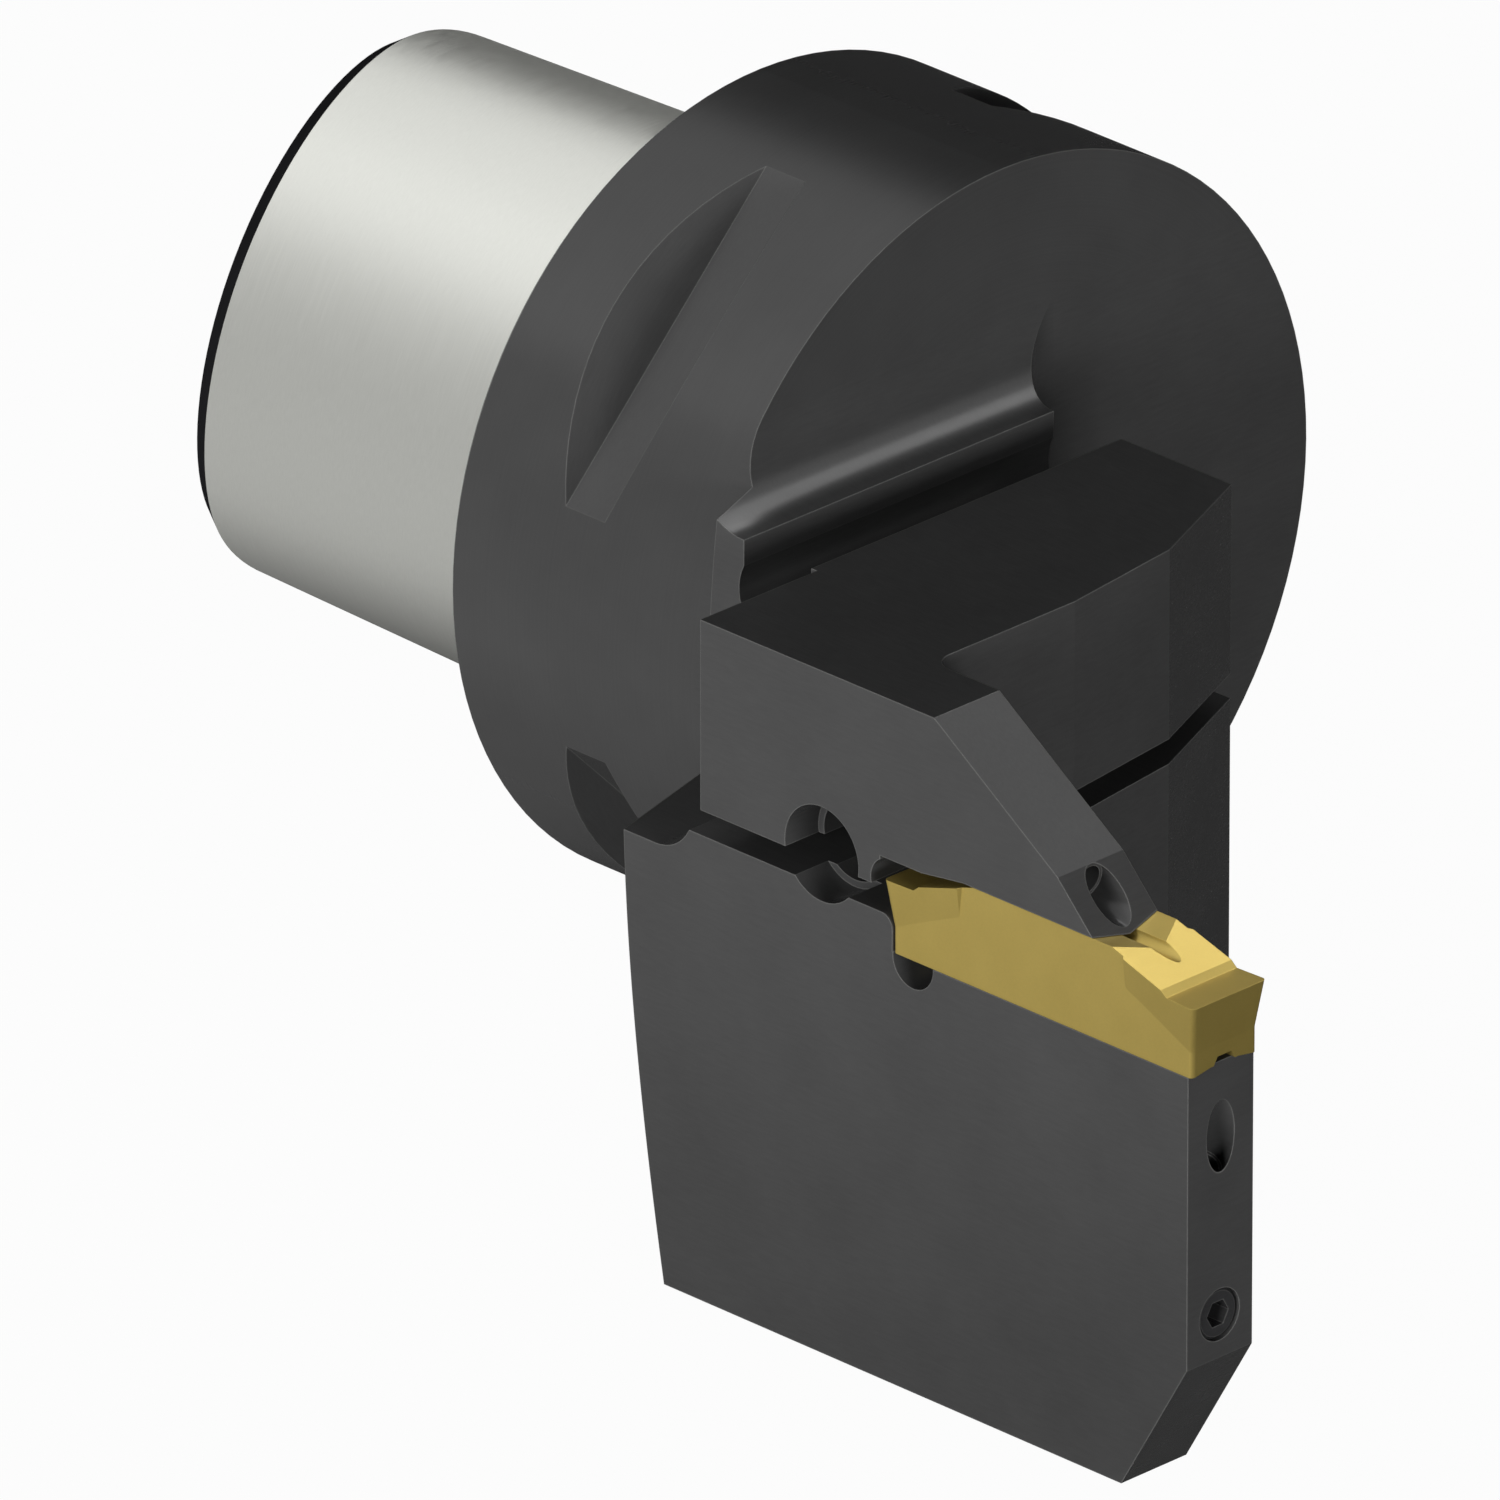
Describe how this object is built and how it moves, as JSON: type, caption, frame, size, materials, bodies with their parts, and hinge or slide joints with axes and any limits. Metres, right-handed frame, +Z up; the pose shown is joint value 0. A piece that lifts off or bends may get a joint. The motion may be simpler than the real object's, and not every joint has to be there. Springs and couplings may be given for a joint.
{
  "type": "parting and grooving cutting unit",
  "caption": "Cutting unit for parting and grooving: polygon taper shank, gripper flange, offset head with a spring-clamped double-ended insert over a deep blade and coolant jets.",
  "frame": {"origin": "centre of the gauge face, where the shank meets the flange", "axes": "+X along the tool axis towards the cutting edge, +Z up with the insert's rake face up, -Y towards the side that cuts"},
  "size_m": [0.1, 0.0601, 0.0567],
  "materials": {
    "ground_steel": "hardened steel, ground bright",
    "black_oxide_steel": "milled and ground tool steel with a satin black oxide finish",
    "coated_carbide": "sintered carbide with a thin gold-coloured wear coating, satin",
    "plug_steel": "blackened alloy steel screw"
  },
  "bodies": {
    "holder": {"polygon_shank": "ground_steel", "holder_body": "black_oxide_steel", "blade_duct_plug": "plug_steel", "head_duct_plug": "plug_steel"},
    "jaw": {"clamp_jaw": "black_oxide_steel", "jaw_duct_plug": "plug_steel"},
    "insert": {"cutting_insert": "coated_carbide"}
  },
  "joints": [
    {"name": "jaw_spring", "type": "hinge", "parent": "holder", "child": "jaw", "pos_m": [0.02721, -0.0175, 0.00495], "axis": [0, -1, 0], "range_deg": [0, 1], "stiffness_Nm_per_rad": 40, "springref_deg": -0.57},
    {"name": "insert_slide", "type": "slide", "parent": "holder", "child": "insert", "axis": [1, 0, 0], "range_m": [0, 0.026]}
  ]
}
